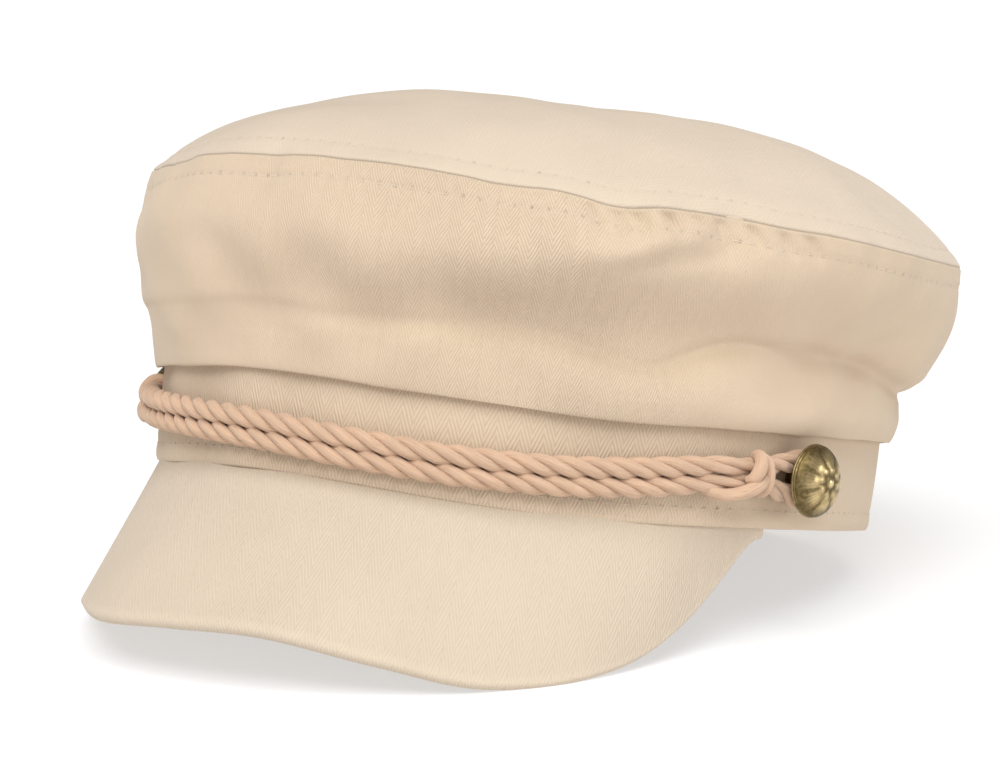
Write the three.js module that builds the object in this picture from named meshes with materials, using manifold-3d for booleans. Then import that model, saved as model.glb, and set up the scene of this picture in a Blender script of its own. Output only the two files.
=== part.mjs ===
// A breton fisherman cap in herringbone cotton, standing on a surface on the corners of its peak and the
// back of its band. Millimetres, +Z up, the peak towards -Y, the wearer's left towards +X.
import * as THREE from "three";
import { mergeVertices } from "three/addons/utils/BufferGeometryUtils.js";
import Module from "manifold-3d";

// Head opening and band
const HEAD_WIDTH = 166; // inside the band, ear to ear
const HEAD_LENGTH = 192; // inside the band, forehead to nape
const BAND_WALL = 2.5; // two layers of cloth and their stiffening
const BAND_HEIGHT = 24.3;
const BAND_FLARE = 0.8; // how much further out the band stands at its top
const BAND_SWAY = 3.2; // how far the band's edges rise and dip round the head

// Crown
const CLOTH = 2; // wall of the crown, cloth and padding
const CROWN_STAND = 46; // from the band to the top seam
const CROWN_OVERHANG = 17; // how far the crown stands out beyond the band
const CROWN_PUFF = 30; // how far the top panel swells above its seam
const PUFF_FLAT = 3.1; // how flat the puff is in the middle
const PUFF_STEEP = 0.81; // how steeply it starts at the seam: less is steeper
const PUFF_TO_BACK = 5; // how much higher the top panel's puff is at the back
const SEAM_GAP = 0.3; // between pieces that are sewn to each other

// Peak
const PEAK_REACH = 45; // down its middle, from the band to the edge
const PEAK_THICKNESS = 3;
const PEAK_END = 2.5; // width left where the peak runs out at the temples
const PEAK_HALF_ANGLE = THREE.MathUtils.degToRad(81);

// Cord, knots and buttons
const CORD_WIDTH = 4.6;
const CORD_GAP = 0.3; // between the cord and what it lies against
const KNOT_WALL = 1.4;
const KNOT_LENGTH = 7;
const KNOT_CORNER = 0.7; // rounding of the knot's edges
const BUTTON_WIDTH = 17.5;
const BUTTON_RIM = 1.3;
const BUTTON_DOME = 4;
const BUTTON_ROUND = 0.7; // how round the dome is towards its rim: less is rounder
const BUTTON_RELIEF = 0.5;
const BUTTON_PETALS = 8;
const SHANK_WIDTH = 3.6;

// How deep the cloth is pressed flat where the cap rests
const REST_PRESS = 0.8;

// Band edge from the front to the back in equal steps: its height as a share of BAND_SWAY
const BAND_EDGE = [{ sway: 0.28 }, { sway: -0.45 }, { sway: 0.35 }, { sway: 0.45 }, { sway: -1 }];

// Crown side from the front to the back in equal steps. The out columns are shares of CROWN_OVERHANG, and
// the up columns of CROWN_STAND: the roll over the band, the crease above it, the pouch that hangs over
// the crease, the belly and the top seam.
const CROWN_PROFILE = [
  { roll: 0.2, crease: 0.25, pouch: 0.37, belly: 0.68, bellyUp: 0.69, seam: 0.44, seamUp: 1.04 },
  { roll: 0.22, crease: 0.25, pouch: 0.39, belly: 0.69, bellyUp: 0.69, seam: 0.45, seamUp: 1.03 },
  { roll: 0.28, crease: 0.22, pouch: 0.56, belly: 0.86, bellyUp: 0.7, seam: 0.84, seamUp: 0.95 },
  { roll: 0.29, crease: 0.3, pouch: 0.74, belly: 0.95, bellyUp: 0.71, seam: 0.95, seamUp: 0.99 },
  { roll: 0.29, crease: 0.3, pouch: 0.86, belly: 1.18, bellyUp: 0.71, seam: 1.24, seamUp: 0.98 },
];
const ROLL_UP = 0.075;
const ROLL_START = { out: 0.72, up: 0.4 }; // where the roll turns up, as shares of its own size
const CREASE_UP = 0.27;
const POUCH_UP = 0.37;

// Dents and swellings pressed into the crown side: the angle from the front and half width in degrees, the
// height and half height as shares of CROWN_STAND, and the depth as a share of CROWN_OVERHANG.
const DENTS = [
  { angle: 50, wide: 10, up: 0.34, high: 0.14, depth: 0.13 },
  { angle: 47, wide: 15, up: 0.72, high: 0.15, depth: -0.1 },
  { angle: 62, wide: 16, up: 0.55, high: 0.12, depth: 0.1 },
  { angle: 96, wide: 9, up: 0.42, high: 0.16, depth: 0.11 },
  { angle: -34, wide: 14, up: 0.6, high: 0.2, depth: 0.08 },
  { angle: -70, wide: 16, up: 0.45, high: 0.16, depth: 0.1 },
  { angle: 152, wide: 18, up: 0.5, high: 0.2, depth: 0.12 },
  { angle: -140, wide: 18, up: 0.48, high: 0.2, depth: 0.12 },
];

// Peak from its end at the wearer's right to the other in equal steps: its width as a share of PEAK_REACH
// and its slope below the level of the band. It is bent a little unevenly, as by hand.
const PEAK_PROFILE = [
  { width: 0, slope: 92 },
  { width: 0.76, slope: 70 },
  { width: 0.895, slope: 61 },
  { width: 0.935, slope: 56 },
  { width: 1.04, slope: 51.5 },
  { width: 1.01, slope: 51.5 },
  { width: 0.97, slope: 51 },
  { width: 0.98, slope: 55 },
  { width: 0.995, slope: 59 },
  { width: 0.8, slope: 63.5 },
  { width: 0, slope: 92 },
];

// Cord route, a closed loop over the wearer's left button, the front, the right button and back: the angle
// from the front, the height over the band's lower edge as a share of BAND_HEIGHT, and the clearance from
// the band as a share of CORD_WIDTH.
const CORD_ROUTE = [
  { angle: 87.2, up: 0.51, clear: 0.087 },
  { angle: 86.2, up: 0.646, clear: 0.087 },
  { angle: 83.6, up: 0.695, clear: 0.13 },
  { angle: 80, up: 0.667, clear: 0.239 },
  { angle: 75, up: 0.634, clear: 0.457 },
  { angle: 72, up: 0.63, clear: 0.457 },
  { angle: 69, up: 0.626, clear: 0.457 },
  { angle: 64, up: 0.593, clear: 0.283 },
  { angle: 57, up: 0.539, clear: 0.087 },
  { angle: 45, up: 0.477, clear: 0.065 },
  { angle: 30, up: 0.436, clear: 0.065 },
  { angle: 15, up: 0.432, clear: 0.065 },
  { angle: 0, up: 0.473, clear: 0.065 },
  { angle: -15, up: 0.527, clear: 0.065 },
  { angle: -30, up: 0.601, clear: 0.065 },
  { angle: -44, up: 0.667, clear: 0.087 },
  { angle: -49.5, up: 0.695, clear: 0.239 },
  { angle: -55, up: 0.712, clear: 0.457 },
  { angle: -58, up: 0.716, clear: 0.457 },
  { angle: -61, up: 0.72, clear: 0.457 },
  { angle: -65, up: 0.774, clear: 0.239 },
  { angle: -68.6, up: 0.815, clear: 0.13 },
  { angle: -71.2, up: 0.765, clear: 0.087 },
  { angle: -72.2, up: 0.63, clear: 0.087 },
  { angle: -71.2, up: 0.494, clear: 0.087 },
  { angle: -68.6, up: 0.444, clear: 0.13 },
  { angle: -65, up: 0.477, clear: 0.239 },
  { angle: -61, up: 0.502, clear: 0.457 },
  { angle: -58, up: 0.506, clear: 0.457 },
  { angle: -55, up: 0.506, clear: 0.457 },
  { angle: -49.5, up: 0.49, clear: 0.239 },
  { angle: -44, up: 0.457, clear: 0.087 },
  { angle: -30, up: 0.391, clear: 0.065 },
  { angle: -15, up: 0.317, clear: 0.065 },
  { angle: 0, up: 0.263, clear: 0.065 },
  { angle: 15, up: 0.222, clear: 0.065 },
  { angle: 30, up: 0.226, clear: 0.065 },
  { angle: 45, up: 0.267, clear: 0.065 },
  { angle: 57, up: 0.329, clear: 0.087 },
  { angle: 64, up: 0.383, clear: 0.283 },
  { angle: 69, up: 0.42, clear: 0.457 },
  { angle: 72, up: 0.42, clear: 0.457 },
  { angle: 75, up: 0.416, clear: 0.457 },
  { angle: 80, up: 0.37, clear: 0.239 },
  { angle: 83.6, up: 0.325, clear: 0.13 },
  { angle: 86.2, up: 0.374, clear: 0.087 },
];

// Buttons and the knots beside them: angles from the front, and heights as shares of BAND_HEIGHT
const FITTINGS = [
  { side: "left", buttonAngle: 84, buttonUp: 0.51, knotAngle: 72, knotUp: 0.525 },
  { side: "right", buttonAngle: -69, buttonUp: 0.63, knotAngle: -58, knotUp: 0.611 },
];

// Fineness of the faceted solids
const AROUND = 60;
const PROFILE_STEPS = 3;
const DOME_RINGS = 8;
const PEAK_SECTIONS = 30;
const PEAK_RIBS = 6;
const CORD_STEPS = 90;
const CORD_SIDES = 8;
const KNOT_SIDES = 20;
const BUTTON_SIDES = 32;
const BUTTON_RINGS = [0.9, 0.76, 0.58, 0.4, 0.22]; // on the dome, as shares of its half width

const BAND_OUTSIDE = { x: HEAD_WIDTH / 2 + BAND_WALL, y: HEAD_LENGTH / 2 + BAND_WALL };
const radians = THREE.MathUtils.degToRad;

// A smooth value between table rows in equal steps, with the table mirrored at both ends.
function between(rows, column, place) {
  const last = rows.length - 1;
  const at = Math.min(Math.floor(place), last - 1);
  const part = place - at;
  const value = (i) => rows[i < 0 ? -i : i > last ? 2 * last - i : i][column];
  const [a, b, c, d] = [value(at - 1), value(at), value(at + 1), value(at + 2)];
  const bend = part * (part * (3 * (b - c) + d - a) + 2 * a - 5 * b + 4 * c - d);
  return b + 0.5 * part * (c - a + bend);
}

// The shorter turn from one angle to another, signed.
function turnBetween(from, to) {
  return THREE.MathUtils.euclideanModulo(to - from + Math.PI, 2 * Math.PI) - Math.PI;
}

function aroundHead(rows, column, angle) {
  const turn = Math.abs(turnBetween(0, angle));
  return between(rows, column, (turn / Math.PI) * (rows.length - 1));
}

const bandEdge = (angle) => BAND_SWAY * aroundHead(BAND_EDGE, "sway", angle);

// The way out from the band's outer oval at an angle from the front.
function outward(angle) {
  const across = BAND_OUTSIDE.y * Math.sin(angle);
  const along = -BAND_OUTSIDE.x * Math.cos(angle);
  return new THREE.Vector3(across, along, 0).normalize();
}

// A point that stands out from the band's lower outer edge, and up from it.
function fromBand(angle, out, up) {
  const edge = new THREE.Vector3(BAND_OUTSIDE.x * Math.sin(angle), -BAND_OUTSIDE.y * Math.cos(angle), 0);
  edge.z = bandEdge(angle) + up;
  return edge.addScaledVector(outward(angle), out);
}

const flareAt = (up) => (BAND_FLARE * up) / BAND_HEIGHT;

// Joins like sections, each a closed outline of points, into one closed body.
function loft(sections, ring) {
  const count = sections[0].length;
  const positions = sections.flat().flatMap((p) => [p.x, p.y, p.z]);
  const index = [];
  const spans = ring ? sections.length : sections.length - 1;
  for (let s = 0; s < spans; s++) {
    const here = s * count;
    const next = ((s + 1) % sections.length) * count;
    for (let i = 0; i < count; i++) {
      const j = (i + 1) % count;
      index.push(here + i, next + i, next + j, here + i, next + j, here + j);
    }
  }
  if (!ring) {
    const end = (sections.length - 1) * count;
    for (let i = 1; i < count - 1; i++) {
      index.push(0, i, i + 1);
      index.push(end, end + i + 1, end + i);
    }
  }
  return closedBody(positions, index);
}

// Merges the points that lie on each other and drops the faces that this leaves without area.
function closedBody(positions, index) {
  const raw = new THREE.BufferGeometry();
  raw.setAttribute("position", new THREE.Float32BufferAttribute(positions, 3));
  raw.setIndex(index);
  const merged = mergeVertices(raw, 1e-3);
  const kept = [];
  for (let i = 0; i < merged.index.count; i += 3) {
    const [a, b, c] = [0, 1, 2].map((k) => merged.index.getX(i + k));
    if (a !== b && b !== c && c !== a) kept.push(a, b, c);
  }
  merged.setIndex(kept);
  merged.computeVertexNormals();
  return merged;
}

const anglesAround = Array.from({ length: AROUND }, (_, i) => (2 * Math.PI * i) / AROUND);

function bandGeometry() {
  const section = (angle) => [
    fromBand(angle, 0, 0),
    fromBand(angle, BAND_FLARE, BAND_HEIGHT),
    fromBand(angle, BAND_FLARE - BAND_WALL, BAND_HEIGHT),
    fromBand(angle, -BAND_WALL, 0),
  ];
  return loft(anglesAround.map(section), true);
}

// How far the dents draw the crown's wall in at an angle and at a share of its height.
function dentAt(angle, share) {
  let depth = 0;
  for (const dent of DENTS) {
    const sideways = turnBetween(radians(dent.angle), angle) / radians(dent.wide);
    const upwards = (share - dent.up) / dent.high;
    depth += CROWN_OVERHANG * dent.depth * Math.exp(-(sideways ** 2) - upwards ** 2);
  }
  return depth;
}

// Outer face of the crown side at one angle: points of how far out and up from the band's top edge.
function crownFace(angle) {
  const out = (column) => CROWN_OVERHANG * aroundHead(CROWN_PROFILE, column, angle);
  const up = (column) => CROWN_STAND * aroundHead(CROWN_PROFILE, column, angle);
  const keys = [
    new THREE.Vector2(0, SEAM_GAP),
    new THREE.Vector2(ROLL_START.out * out("roll"), ROLL_START.up * ROLL_UP * CROWN_STAND + SEAM_GAP),
    new THREE.Vector2(out("roll"), ROLL_UP * CROWN_STAND + SEAM_GAP),
    new THREE.Vector2(out("crease"), CREASE_UP * CROWN_STAND),
    new THREE.Vector2(out("pouch"), POUCH_UP * CROWN_STAND),
    new THREE.Vector2(out("belly"), up("bellyUp")),
    new THREE.Vector2(out("seam"), up("seamUp")),
  ];
  const face = new THREE.SplineCurve(keys).getPoints((keys.length - 1) * PROFILE_STEPS);
  for (const point of face) point.x -= dentAt(angle, point.y / CROWN_STAND);
  return face;
}

// The same face moved in by the wall, square to the cloth.
function crownLining(face) {
  return face.map((point, i) => {
    const before = face[Math.max(i - 1, 0)];
    const after = face[Math.min(i + 1, face.length - 1)];
    const along = after.clone().sub(before).normalize();
    return new THREE.Vector2(point.x - CLOTH * along.y, point.y + CLOTH * along.x);
  });
}

const crownPoint = (angle, p) => fromBand(angle, BAND_FLARE + p.x, BAND_HEIGHT + p.y);

function crownSideGeometry() {
  const section = (angle) => {
    const face = crownFace(angle);
    const lining = crownLining(face).slice(2).reverse();
    const foot = [new THREE.Vector2(-BAND_WALL, SEAM_GAP + CLOTH), new THREE.Vector2(-BAND_WALL, SEAM_GAP)];
    return [...face, ...lining, ...foot].map((p) => crownPoint(angle, p));
  };
  return loft(anglesAround.map(section), true);
}

// Outer face of the top panel, from the seam in towards the middle.
function topFace() {
  const seam = anglesAround.map((angle) => crownPoint(angle, crownFace(angle).at(-1)));
  const box = new THREE.Box3().setFromPoints(seam);
  const middle = box.getCenter(new THREE.Vector3());
  const level = seam.reduce((sum, p) => sum + p.z, 0) / seam.length;
  const puff = (share) => CROWN_PUFF * (1 - share ** PUFF_FLAT) ** PUFF_STEEP;
  return seam.map((edge) =>
    Array.from({ length: DOME_RINGS + 1 }, (_, ring) => {
      const share = Math.cos((ring / DOME_RINGS) * (Math.PI / 2));
      const point = edge.clone().sub(middle).multiplyScalar(share).add(middle);
      const lift = PUFF_TO_BACK * (point.y / (HEAD_LENGTH / 2)) * (1 - share ** 2);
      point.z = level + (edge.z - level) * share ** 2 + puff(share) + lift + SEAM_GAP;
      return point;
    }),
  );
}

function crownTopGeometry() {
  const face = topFace();
  const linings = anglesAround.map((angle) => crownPoint(angle, crownLining(crownFace(angle)).at(-1)));
  const sections = face.map((rib, i) => {
    const next = face[(i + 1) % AROUND];
    const last = face[(i + AROUND - 1) % AROUND];
    const inner = rib.map((point, ring) => {
      if (ring === 0) return linings[i].clone().setZ(linings[i].z + SEAM_GAP);
      if (ring === DOME_RINGS) return point.clone().setZ(point.z - CLOTH);
      const across = next[ring].clone().sub(last[ring]);
      const along = rib[ring + 1].clone().sub(rib[ring - 1]);
      return point.clone().addScaledVector(across.cross(along).normalize(), -CLOTH);
    });
    return [...rib, ...inner.reverse()];
  });
  return loft(sections, true);
}

// Upper face of the peak at a share of its half width, -1 at the wearer's right, from the band to the edge.
function peakRib(share) {
  const angle = share * PEAK_HALF_ANGLE;
  const place = ((share + 1) / 2) * (PEAK_PROFILE.length - 1);
  const slope = radians(between(PEAK_PROFILE, "slope", place));
  const width = PEAK_END + (PEAK_REACH - PEAK_END) * Math.max(between(PEAK_PROFILE, "width", place), 0);
  const root = fromBand(angle, 0, -SEAM_GAP);
  const fall = new THREE.Vector3(0, -Math.cos(slope), -Math.sin(slope));
  const step = width / PEAK_RIBS;
  return Array.from({ length: PEAK_RIBS + 1 }, (_, i) => root.clone().addScaledVector(fall, step * i));
}

function peakGeometry() {
  const shares = Array.from({ length: PEAK_SECTIONS + 1 }, (_, i) => (2 * i) / PEAK_SECTIONS - 1);
  const step = 1 / PEAK_SECTIONS;
  const sections = shares.map((share) => {
    const rib = peakRib(share);
    const later = peakRib(Math.min(share + step, 1));
    const earlier = peakRib(Math.max(share - step, -1));
    const under = rib.map((point, i) => {
      const across = later[i].clone().sub(earlier[i]);
      const along = rib[Math.min(i + 1, PEAK_RIBS)].clone().sub(rib[Math.max(i - 1, 0)]);
      return point.clone().addScaledVector(across.cross(along).normalize(), PEAK_THICKNESS);
    });
    under[0] = fromBand(share * PEAK_HALF_ANGLE, -BAND_WALL, -SEAM_GAP);
    return [...under, ...rib.reverse()];
  });
  return loft(sections, false);
}

const cordOut = (up, clear) => flareAt(up) + clear + CORD_WIDTH / 2;

function cordGeometry() {
  const points = CORD_ROUTE.map((row) => {
    const up = row.up * BAND_HEIGHT;
    return fromBand(radians(row.angle), cordOut(up, row.clear * CORD_WIDTH), up);
  });
  const route = new THREE.CatmullRomCurve3(points, true);
  const sections = Array.from({ length: CORD_STEPS }, (_, i) => {
    const middle = route.getPointAt(i / CORD_STEPS);
    const along = route.getTangentAt(i / CORD_STEPS);
    const out = outward(Math.atan2(middle.x / BAND_OUTSIDE.x, -middle.y / BAND_OUTSIDE.y));
    const side = out.clone().cross(along).normalize();
    out.crossVectors(along, side);
    return Array.from({ length: CORD_SIDES }, (_, k) => {
      const turn = (2 * Math.PI * (k + 0.5)) / CORD_SIDES;
      const spoke = out.clone().multiplyScalar(Math.cos(turn)).addScaledVector(side, Math.sin(turn));
      return middle.clone().addScaledVector(spoke, CORD_WIDTH / 2);
    });
  });
  return loft(sections, true);
}

// A sleeve of wrapped cord round both runs, lying along X, with Y out from the band and Z up.
function knotGeometry() {
  const reach = (CORD_WIDTH + 2 * CORD_GAP) / 2; // from the knot's middle to the middle of either run
  const ends = KNOT_LENGTH / 2;
  const outline = [
    { x: -ends, wall: 0 },
    { x: -ends, wall: KNOT_WALL - KNOT_CORNER },
    { x: -ends + KNOT_CORNER, wall: KNOT_WALL },
    { x: -KNOT_CORNER, wall: KNOT_WALL },
    { x: 0, wall: KNOT_WALL - KNOT_CORNER },
    { x: KNOT_CORNER, wall: KNOT_WALL },
    { x: ends - KNOT_CORNER, wall: KNOT_WALL },
    { x: ends, wall: KNOT_WALL - KNOT_CORNER },
    { x: ends, wall: 0 },
  ];
  const sections = Array.from({ length: KNOT_SIDES }, (_, i) => {
    const turn = (2 * Math.PI * i) / KNOT_SIDES;
    return outline.map(({ x, wall }) => {
      const radius = CORD_WIDTH / 2 + CORD_GAP + wall;
      const up = i % (KNOT_SIDES / 2) === 0 ? 0 : reach * Math.sign(Math.sin(turn));
      return new THREE.Vector3(x, radius * Math.cos(turn), up + radius * Math.sin(turn));
    });
  });
  return loft(sections, true);
}

// Domed button with its shank in one piece, its face towards +Z and its shank's foot at the origin.
function buttonGeometry() {
  const back = CORD_WIDTH + KNOT_WALL + 2 * CORD_GAP;
  const edge = BUTTON_WIDTH / 2;
  const rings = BUTTON_RINGS.map((share) => ({
    radius: edge * share,
    height: back + BUTTON_RIM + BUTTON_DOME * (1 - share ** 2) ** BUTTON_ROUND,
  }));
  const profile = [
    { radius: 0, height: 0 },
    { radius: SHANK_WIDTH / 2, height: 0 },
    { radius: SHANK_WIDTH / 2, height: back },
    { radius: edge - BUTTON_RIM / 2, height: back },
    { radius: edge, height: back + BUTTON_RIM / 2 },
    { radius: edge - BUTTON_RIM / 2, height: back + BUTTON_RIM },
    ...rings,
    { radius: 0, height: back + BUTTON_RIM + BUTTON_DOME },
  ];
  const sections = Array.from({ length: BUTTON_SIDES }, (_, i) => {
    const turn = (2 * Math.PI * i) / BUTTON_SIDES;
    return profile.map(({ radius, height }) => {
      const onFace = height > back + BUTTON_RIM && radius > 0;
      const petals = Math.sin((radius / edge) * Math.PI) * Math.cos(BUTTON_PETALS * turn);
      const lift = onFace ? BUTTON_RELIEF * petals : 0;
      return new THREE.Vector3(radius * Math.cos(turn), radius * Math.sin(turn), height + lift);
    });
  });
  return loft(sections, true);
}

const wasm = await Module();
wasm.setup();

function toSolid(geometry) {
  const bare = new THREE.BufferGeometry().setAttribute("position", geometry.getAttribute("position"));
  bare.setIndex(geometry.index);
  const merged = mergeVertices(bare, 1e-3);
  return new wasm.Manifold(
    new wasm.Mesh({
      numProp: 3,
      vertProperties: merged.getAttribute("position").array,
      triVerts: new Uint32Array(merged.index.array),
    }),
  );
}

function fromSolid(solid) {
  const mesh = solid.getMesh();
  const geometry = new THREE.BufferGeometry();
  geometry.setAttribute("position", new THREE.Float32BufferAttribute(mesh.vertProperties, 3));
  geometry.setIndex([...mesh.triVerts]);
  geometry.computeVertexNormals();
  return geometry;
}

// Height of a geometry's lowest point once the cap is tipped back by an angle.
function lowest(geometry, tilt) {
  const place = geometry.getAttribute("position");
  let low = Infinity;
  for (let i = 0; i < place.count; i++) {
    low = Math.min(low, place.getZ(i) * Math.cos(tilt) - place.getY(i) * Math.sin(tilt));
  }
  return low;
}

// The cap tips back until the peak's corners and the back of the band are level.
function restingTilt(peak, band) {
  let [less, more] = [0, radians(45)];
  for (let i = 0; i < 40; i++) {
    const tilt = (less + more) / 2;
    if (lowest(peak, tilt) < lowest(band, tilt)) less = tilt;
    else more = tilt;
  }
  return (less + more) / 2;
}

// Presses a piece flat where it would pass through the surface that the cap rests on.
function pressedFlat(geometry, cap) {
  const span = 4 * HEAD_LENGTH;
  const under = new THREE.BoxGeometry(span, span, span).translate(0, 0, -span / 2);
  under.applyMatrix4(cap.matrix.clone().invert());
  return fromSolid(toSolid(geometry).subtract(toSolid(under)));
}

const cloth = new THREE.MeshStandardMaterial({ color: 0xe3d2b8, roughness: 0.95, metalness: 0 });
const clothTop = new THREE.MeshStandardMaterial({ color: 0xe9dac3, roughness: 0.95, metalness: 0 });
const cordCotton = new THREE.MeshStandardMaterial({ color: 0xe0c1a0, roughness: 0.9, metalness: 0 });
const brass = new THREE.MeshStandardMaterial({ color: 0x82703f, roughness: 0.45, metalness: 1 });

const cap = new THREE.Group();
function piece(name, geometry, material) {
  const mesh = new THREE.Mesh(geometry, material);
  mesh.name = name;
  cap.add(mesh);
  return mesh;
}

const bandWhole = bandGeometry();
const peakWhole = peakGeometry();
const tilt = restingTilt(peakWhole, bandWhole);
cap.rotation.x = -tilt;
cap.position.z = -lowest(bandWhole, tilt) - REST_PRESS;
cap.updateMatrix();

piece("band", pressedFlat(bandWhole, cap), cloth);
piece("peak", pressedFlat(peakWhole, cap), cloth);
piece("crown_side", crownSideGeometry(), cloth);
piece("crown_top", crownTopGeometry(), clothTop);
piece("cord", cordGeometry(), cordCotton);

// Stands a mesh on the band's outer face, with its Z out from the band and its Y up.
function seat(mesh, angle, up, clear) {
  const out = outward(angle);
  const along = new THREE.Vector3(0, 0, 1).cross(out);
  mesh.position.copy(fromBand(angle, flareAt(up) + clear, up));
  mesh.setRotationFromMatrix(new THREE.Matrix4().makeBasis(along, new THREE.Vector3(0, 0, 1), out));
}

for (const { side, buttonAngle, buttonUp, knotAngle, knotUp } of FITTINGS) {
  const button = piece(`button_${side}`, buttonGeometry(), brass);
  seat(button, radians(buttonAngle), buttonUp * BAND_HEIGHT, CORD_GAP);
  const knot = piece(`cord_knot_${side}`, knotGeometry().rotateX(Math.PI / 2), cordCotton);
  const clear = KNOT_WALL + 2 * CORD_GAP + CORD_WIDTH / 2;
  seat(knot, radians(knotAngle), knotUp * BAND_HEIGHT, clear);
}

// The cap stands with the middle of its outline at the origin.
const part = new THREE.Group();
part.add(cap);
const outline = new THREE.Box3().setFromObject(cap, true);
const middle = outline.getCenter(new THREE.Vector3());
part.position.set(-middle.x, -middle.y, 0);

export default part;
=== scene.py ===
import math

import bpy
import numpy as np
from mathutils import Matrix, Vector


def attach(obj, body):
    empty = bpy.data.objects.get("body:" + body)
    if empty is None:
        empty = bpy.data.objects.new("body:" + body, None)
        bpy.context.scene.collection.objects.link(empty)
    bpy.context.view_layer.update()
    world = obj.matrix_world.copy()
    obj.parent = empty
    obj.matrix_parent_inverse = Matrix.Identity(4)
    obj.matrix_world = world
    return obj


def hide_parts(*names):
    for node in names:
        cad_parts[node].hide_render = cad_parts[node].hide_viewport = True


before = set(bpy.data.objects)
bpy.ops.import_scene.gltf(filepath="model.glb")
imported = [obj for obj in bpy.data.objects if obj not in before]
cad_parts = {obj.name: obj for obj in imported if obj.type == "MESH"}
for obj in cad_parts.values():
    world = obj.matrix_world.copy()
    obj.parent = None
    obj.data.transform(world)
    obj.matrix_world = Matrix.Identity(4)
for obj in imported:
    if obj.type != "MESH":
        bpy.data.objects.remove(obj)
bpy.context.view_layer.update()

# Band
# An upright strip of herringbone cotton, doubled over a stiffener and folded at its lower edge, with an
# upright join at the nape. A row of topstitching runs just over the fold.
HEAD_WIDTH, HEAD_LENGTH = 0.166, 0.192  # inside the band
BAND_WALL, BAND_HEIGHT, BAND_FLARE, BAND_SWAY = 0.0025, 0.0243, 0.0008, 0.0032
BAND_EDGE = [0.28, -0.45, 0.35, 0.45, -1]  # from the front to the back, as shares of BAND_SWAY
HALF_WIDTH, HALF_LENGTH = HEAD_WIDTH / 2 + BAND_WALL, HEAD_LENGTH / 2 + BAND_WALL
TILT = math.radians(11.7535)  # the cap leans back from the corners of its peak
LIFT, SHIFT = 0.0223976, 0.0000072  # up on to the surface, and back to its middle
PRESSED_TO = 0.00005  # what would lie lower is pressed flat, this far above the surface
AROUND = 720


def smooth_between(a, b, c, d, part):
    """A smooth way from b to c, a part of it gone, where a comes before b and d after c."""
    bend = part * (part * (3 * (b - c) + d - a) + 2 * a - 5 * b + 4 * c - d)
    return b + 0.5 * part * (c - a + bend)


def smooth_steps(rows, place):
    """A smooth value between rows in equal steps, mirrored at both ends."""
    rows, last = np.asarray(rows, float), len(rows) - 1
    at = np.minimum(np.floor(place).astype(int), last - 1)
    near = (at - 1, at, at + 1, at + 2)
    near = [rows[np.where(i < 0, -i, np.where(i > last, 2 * last - i, i))] for i in near]
    return smooth_between(*near, place - at)


def turn_between(start, end):
    return (end - start + np.pi) % (2 * np.pi) - np.pi


def around_head(rows, angle):
    return smooth_steps(rows, np.abs(turn_between(0, angle)) / np.pi * (len(rows) - 1))


def unit(vectors):
    return vectors / np.linalg.norm(vectors, axis=-1, keepdims=True)


def bell(away, wide):
    """A smooth bump: 1 in its middle, and gone about two widths off."""
    return np.exp(-((away / wide) ** 2))


def step_down(past, wide):
    """A smooth step from 1 to 0 where past goes through 0."""
    return 1 / (1 + np.exp(past / wide))


def points_of(*numbers):
    """Arrays of numbers, spread to one shape and stacked as the coordinates of points."""
    return np.stack(np.broadcast_arrays(*numbers), -1)


def outward(angle):
    return unit(np.stack([HALF_LENGTH * np.sin(angle), -HALF_WIDTH * np.cos(angle), np.zeros_like(angle)], -1))


def from_band(angle, out, up):
    """Points that stand out and up from the band's lower outer edge, at an angle from the front."""
    angle, out, up = np.broadcast_arrays(angle, out, up)
    z = BAND_SWAY * around_head(BAND_EDGE, angle) + up
    edge = np.stack([HALF_WIDTH * np.sin(angle), -HALF_LENGTH * np.cos(angle), z], -1)
    return edge + outward(angle) * out[..., None]


def at_rest(points):
    """The same points once the cap leans back on the surface, pressed flat where it touches."""
    x, y, z = np.moveaxis(np.asarray(points), -1, 0)
    y, z = y * math.cos(TILT) + z * math.sin(TILT), z * math.cos(TILT) - y * math.sin(TILT) + LIFT
    return np.stack([x, y + SHIFT, np.maximum(z, PRESSED_TO)], -1)


def lengths(points, axis):
    """How far each point lies along its line, in metres."""
    steps = np.linalg.norm(np.diff(points, axis=axis), axis=-1)
    shape = list(steps.shape)
    shape[axis] = 1
    return np.concatenate([np.zeros(shape), np.cumsum(steps, axis=axis)], axis=axis)


def smooth_piece(name, points, faces, maps, finish):
    """A piece of the cap at rest. Each map has a place on the cloth, in metres, for each corner of a face."""
    mesh = bpy.data.meshes.new(name)
    mesh.from_pydata(at_rest(points).reshape(-1, 3).tolist(), [], faces.tolist())
    for label, where in maps.items():
        mesh.uv_layers.new(name=label).data.foreach_set("uv", where.astype(np.float32).ravel())
    mesh.shade_smooth()
    mesh.materials.append(finish)
    piece = bpy.data.objects.new(name, mesh)
    bpy.context.scene.collection.objects.link(piece)
    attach(piece, "root")
    return piece


def grid_faces(rows, columns, closed_rows=False, closed_columns=False):
    """The faces of a grid of points, and the rows and columns of their corners."""
    r, c = np.indices((rows - (not closed_rows), columns - (not closed_columns))).reshape(2, -1)
    corners = [(r, c), (r, c + 1), (r + 1, c + 1), (r + 1, c)]
    return np.stack([(a % rows) * columns + b % columns for a, b in corners], -1), corners


def grid_piece(name, points, maps, finish, closed_rows=False, closed_columns=False):
    """A piece from a grid of points, and maps that are grids too, one line longer where the piece closes."""
    faces, corners = grid_faces(*points.shape[:2], closed_rows, closed_columns)
    by_corner = {label: np.stack([where[a, b] for a, b in corners], 1) for label, where in maps.items()}
    return smooth_piece(name, points, faces, by_corner, finish)


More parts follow.
